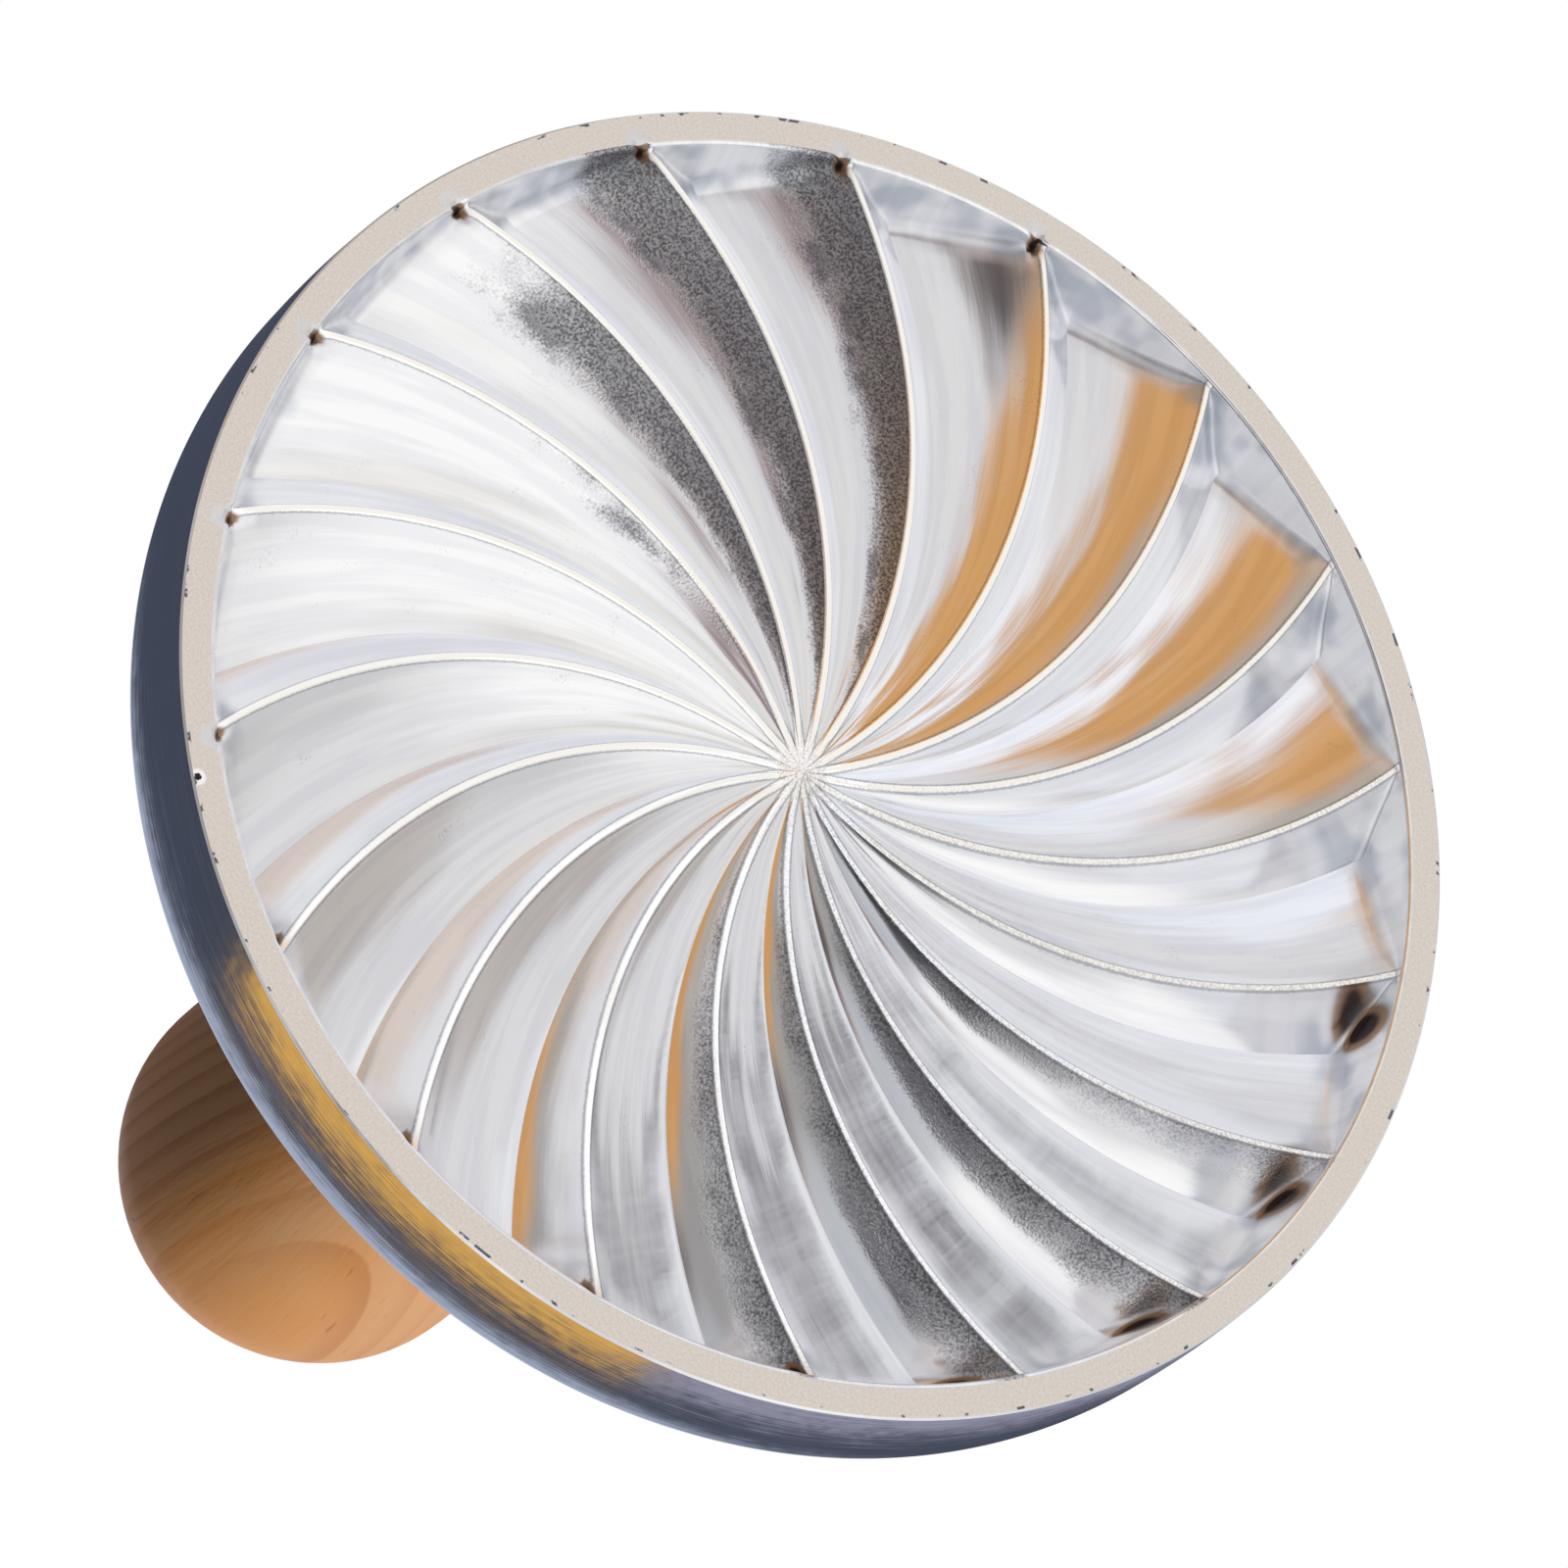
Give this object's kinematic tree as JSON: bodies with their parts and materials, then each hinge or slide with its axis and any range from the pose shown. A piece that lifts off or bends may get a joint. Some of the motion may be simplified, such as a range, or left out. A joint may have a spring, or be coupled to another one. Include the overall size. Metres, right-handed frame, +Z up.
{
  "type": "cookie stamp",
  "caption": "Cookie stamp: a round cast head with a swirl of curved flutes inside a flat rim, on a turned wood knob handle that unscrews.",
  "frame": {"origin": "centre of the ground rim of the face, on the plane that the stamp stands on", "axes": "+Z up along the handle, away from the face; +X towards the outer end of one crest"},
  "size_m": [0.076, 0.076, 0.087],
  "materials": {
    "head_metal": "cast, flutes and side wall polished, rim ground matte",
    "fastener_steel": "bright zinc plate",
    "handle_wood": "turned, satin oil"
  },
  "bodies": {
    "head": {"stamp_head": "head_metal"},
    "washer": {"washer": "fastener_steel"},
    "grip": {"handle": "handle_wood", "hanger_bolt": "fastener_steel"}
  },
  "joints": [
    {"name": "handle_lift", "type": "slide", "parent": "head", "child": "washer", "axis": [0, 0, 1], "range_m": [0, 0.0064]},
    {"name": "handle_turn", "type": "hinge", "parent": "washer", "child": "grip", "pos_m": [0, 0, 0.0145], "axis": [0, 0, 1], "range_deg": [0, 2880]}
  ],
  "couplings": [
    {"joint": "handle_lift", "follows": "handle_turn", "m_per_rad": 0.00012732}
  ]
}
